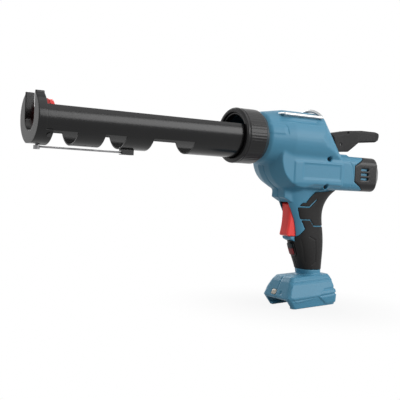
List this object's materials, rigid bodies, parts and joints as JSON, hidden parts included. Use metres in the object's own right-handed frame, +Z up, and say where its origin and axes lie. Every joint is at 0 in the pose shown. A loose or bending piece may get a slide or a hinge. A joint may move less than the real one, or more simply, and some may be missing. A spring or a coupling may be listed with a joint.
{
  "type": "cordless caulking gun",
  "caption": "Cordless caulking gun with an open cradle, ribbed collar, rack rod with red pusher and pull handle, pistol grip with trigger, steel hanging bail and slide-on battery foot.",
  "frame": {"origin": "middle of the battery rail on the underside of the foot", "axes": "+X from the nozzle slot towards the pull handle along the rod, +Z up, +Y to the user's right"},
  "size_m": [0.4785, 0.0722, 0.2489],
  "materials": {
    "blue_plastic": "fine grained moulded plastic",
    "grip_rubber": "soft matt rubber",
    "black_plastic": "matt moulded plastic",
    "red_plastic": "satin moulded plastic",
    "black_paint": "satin powder coat",
    "nickel": "bright nickel plate",
    "steel": "machined steel",
    "zinc": "zinc plated screw steel",
    "black_oxide": "blackened screw steel",
    "motor_steel": "drawn steel can",
    "sleeve_alloy": "cast alloy",
    "bronze": "sintered bronze and brass",
    "lens": "clear plastic lens",
    "board": "coated circuit board",
    "lead_sheath": "insulated wire"
  },
  "bodies": {
    "housing": {"left_housing": "blue_plastic", "right_housing": "blue_plastic", "left_grip": "grip_rubber", "right_grip": "grip_rubber", "rear_cap": "black_plastic", "cap_screws": "black_oxide", "housing_screws": "black_oxide", "front_sleeve": "sleeve_alloy", "front_bush": "bronze", "rear_bush": "bronze", "left_frame": "steel", "right_frame": "steel", "frame_pillars": "steel", "shaft_bearings": "steel", "output_bearing": "steel", "ring_gear": "steel", "motor_can": "motor_steel", "motor_end_bell": "black_plastic", "motor_bearings": "steel", "switch_unit": "black_plastic", "lock_bezel": "black_plastic", "led_lens": "lens", "terminal_block": "black_plastic", "battery_contacts": "bronze", "control_board": "board", "leads": "lead_sheath"},
    "collar": {"collar": "black_plastic"},
    "cradle": {"cradle": "black_paint", "nose_plate": "black_paint", "nose_screws": "black_oxide", "wire_pivot": "zinc", "wire_clip": "black_plastic"},
    "wire": {"piercing_wire": "zinc"},
    "rod": {"rack_rod": "steel", "pusher": "red_plastic", "pusher_screw": "zinc", "pull_handle": "black_plastic", "handle_pin": "black_oxide"},
    "idler": {"rack_pinion": "steel", "pinion_shaft": "steel"},
    "drive": {"drive_pinion": "steel", "cross_shaft": "steel"},
    "rotor": {"motor_shaft": "steel", "armature": "motor_steel", "fan": "black_plastic", "motor_sun": "steel"},
    "first_carrier": {"carrier_1": "steel"},
    "first_planet_1": {"planet_1_1": "steel"},
    "first_planet_2": {"planet_1_2": "steel"},
    "first_planet_3": {"planet_1_3": "steel"},
    "second_carrier": {"carrier_2": "steel", "bevel_pinion": "steel"},
    "second_planet_1": {"planet_2_1": "steel"},
    "second_planet_2": {"planet_2_2": "steel"},
    "second_planet_3": {"planet_2_3": "steel"},
    "bevel": {"bevel_gear": "steel", "clutch_unit": "steel"},
    "trigger": {"trigger": "red_plastic"},
    "lock": {"lock_button": "red_plastic"},
    "bail": {"hang_bail": "nickel"}
  },
  "joints": [
    {"name": "rod_feed", "type": "slide", "parent": "housing", "child": "rod", "axis": [1, 0, 0], "range_m": [0, 0.222]},
    {"name": "idler_spin", "type": "hinge", "parent": "housing", "child": "idler", "pos_m": [-0.041, 0, 0.189], "axis": [0, 1, 0], "range_deg": [0, 1065]},
    {"name": "drive_spin", "type": "hinge", "parent": "housing", "child": "drive", "pos_m": [-0.041, 0, 0.168], "axis": [0, 1, 0], "range_deg": [-1420, 0]},
    {"name": "collar_turn", "type": "hinge", "parent": "housing", "child": "collar", "pos_m": [-0.0837, 0, 0.206], "axis": [1, 0, 0], "range_deg": [0, 90]},
    {"name": "cradle_turn", "type": "hinge", "parent": "housing", "child": "cradle", "pos_m": [-0.0837, 0, 0.206], "axis": [1, 0, 0], "continuous": true},
    {"name": "wire_swing", "type": "hinge", "parent": "cradle", "child": "wire", "pos_m": [-0.356, 0, 0.1762], "axis": [0, 0, 1], "range_deg": [0, 180]},
    {"name": "rotor_spin", "type": "hinge", "parent": "housing", "child": "rotor", "pos_m": [0.0164, 0, 0.168], "axis": [1, 0, 0], "continuous": true},
    {"name": "first_carrier_spin", "type": "hinge", "parent": "housing", "child": "first_carrier", "pos_m": [-0.001, 0, 0.168], "axis": [1, 0, 0], "continuous": true},
    {"name": "second_carrier_spin", "type": "hinge", "parent": "housing", "child": "second_carrier", "pos_m": [-0.014, 0, 0.168], "axis": [1, 0, 0], "continuous": true},
    {"name": "bevel_spin", "type": "hinge", "parent": "housing", "child": "bevel", "pos_m": [-0.041, 0, 0.168], "axis": [0, 1, 0], "continuous": true},
    {"name": "first_planet_1_spin", "type": "hinge", "parent": "first_carrier", "child": "first_planet_1", "pos_m": [0.003, 0, 0.1755], "axis": [1, 0, 0], "continuous": true},
    {"name": "first_planet_2_spin", "type": "hinge", "parent": "first_carrier", "child": "first_planet_2", "pos_m": [0.003, -0.00649, 0.16425], "axis": [1, 0, 0], "continuous": true},
    {"name": "first_planet_3_spin", "type": "hinge", "parent": "first_carrier", "child": "first_planet_3", "pos_m": [0.003, 0.00649, 0.16425], "axis": [1, 0, 0], "continuous": true},
    {"name": "second_planet_1_spin", "type": "hinge", "parent": "second_carrier", "child": "second_planet_1", "pos_m": [-0.01, 0, 0.1755], "axis": [1, 0, 0], "continuous": true},
    {"name": "second_planet_2_spin", "type": "hinge", "parent": "second_carrier", "child": "second_planet_2", "pos_m": [-0.01, -0.00649, 0.16425], "axis": [1, 0, 0], "continuous": true},
    {"name": "second_planet_3_spin", "type": "hinge", "parent": "second_carrier", "child": "second_planet_3", "pos_m": [-0.01, 0.00649, 0.16425], "axis": [1, 0, 0], "continuous": true},
    {"name": "trigger_pull", "type": "slide", "parent": "housing", "child": "trigger", "axis": [1, 0, 0], "range_m": [0, 0.006], "stiffness_N_per_m": 1200, "springref_m": -0.003},
    {"name": "lock_press", "type": "slide", "parent": "housing", "child": "lock", "axis": [1, 0, 0], "range_m": [0, 0.0016], "stiffness_N_per_m": 1500, "springref_m": -0.001},
    {"name": "bail_swing", "type": "hinge", "parent": "housing", "child": "bail", "pos_m": [-0.059, 0, 0.23538], "axis": [0, -1, 0], "range_deg": [0, 120]}
  ],
  "couplings": [
    {"joint": "idler_spin", "follows": "rod_feed", "rad_per_m": 83.333},
    {"joint": "drive_spin", "follows": "rod_feed", "rad_per_m": -111.11},
    {"joint": "first_carrier_spin", "follows": "rotor_spin", "ratio": 0.2},
    {"joint": "second_carrier_spin", "follows": "rotor_spin", "ratio": 0.04},
    {"joint": "bevel_spin", "follows": "rotor_spin", "ratio": -0.04},
    {"joint": "first_planet_1_spin", "follows": "rotor_spin", "ratio": -0.53333},
    {"joint": "second_planet_1_spin", "follows": "rotor_spin", "ratio": -0.10667},
    {"joint": "first_planet_2_spin", "follows": "rotor_spin", "ratio": -0.53333},
    {"joint": "second_planet_2_spin", "follows": "rotor_spin", "ratio": -0.10667},
    {"joint": "first_planet_3_spin", "follows": "rotor_spin", "ratio": -0.53333},
    {"joint": "second_planet_3_spin", "follows": "rotor_spin", "ratio": -0.10667}
  ]
}
